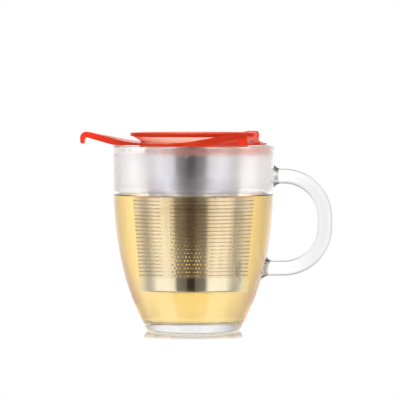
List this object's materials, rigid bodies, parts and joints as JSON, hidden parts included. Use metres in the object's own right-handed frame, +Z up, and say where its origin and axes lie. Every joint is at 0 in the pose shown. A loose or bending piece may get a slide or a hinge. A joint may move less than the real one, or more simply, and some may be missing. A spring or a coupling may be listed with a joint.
{
  "type": "glass tea infuser mug",
  "caption": "Clear glass mug with a strap handle, a lift-out perforated steel tea filter hung from the rim by a hooked red collar, and a loose saucer lid.",
  "frame": {"origin": "middle of the mug's flat foot, on the table", "axes": "+Z up along the mug's axis, +X towards the mug's handle"},
  "size_m": [0.1345, 0.1066, 0.1057],
  "materials": {
    "clear_glass": "clear, fire-polished borosilicate glass",
    "red_plastic": "glossy translucent red moulding",
    "steel": "satin stainless steel",
    "perforated_steel": "finely perforated stainless foil"
  },
  "bodies": {
    "mug": {"mug_body": "clear_glass", "mug_handle": "clear_glass"},
    "infuser": {"infuser_collar": "red_plastic", "basket_band": "steel", "filter_sleeve": "perforated_steel", "basket_cup": "steel"},
    "lid": {"lid": "red_plastic"}
  },
  "joints": [
    {"name": "infuser_lift", "type": "slide", "parent": "mug", "child": "infuser", "axis": [0, 0, 1], "range_m": [0, 0.11]},
    {"name": "lid_lift", "type": "slide", "parent": "infuser", "child": "lid", "axis": [0, 0, 1], "range_m": [0, 0.06]}
  ]
}
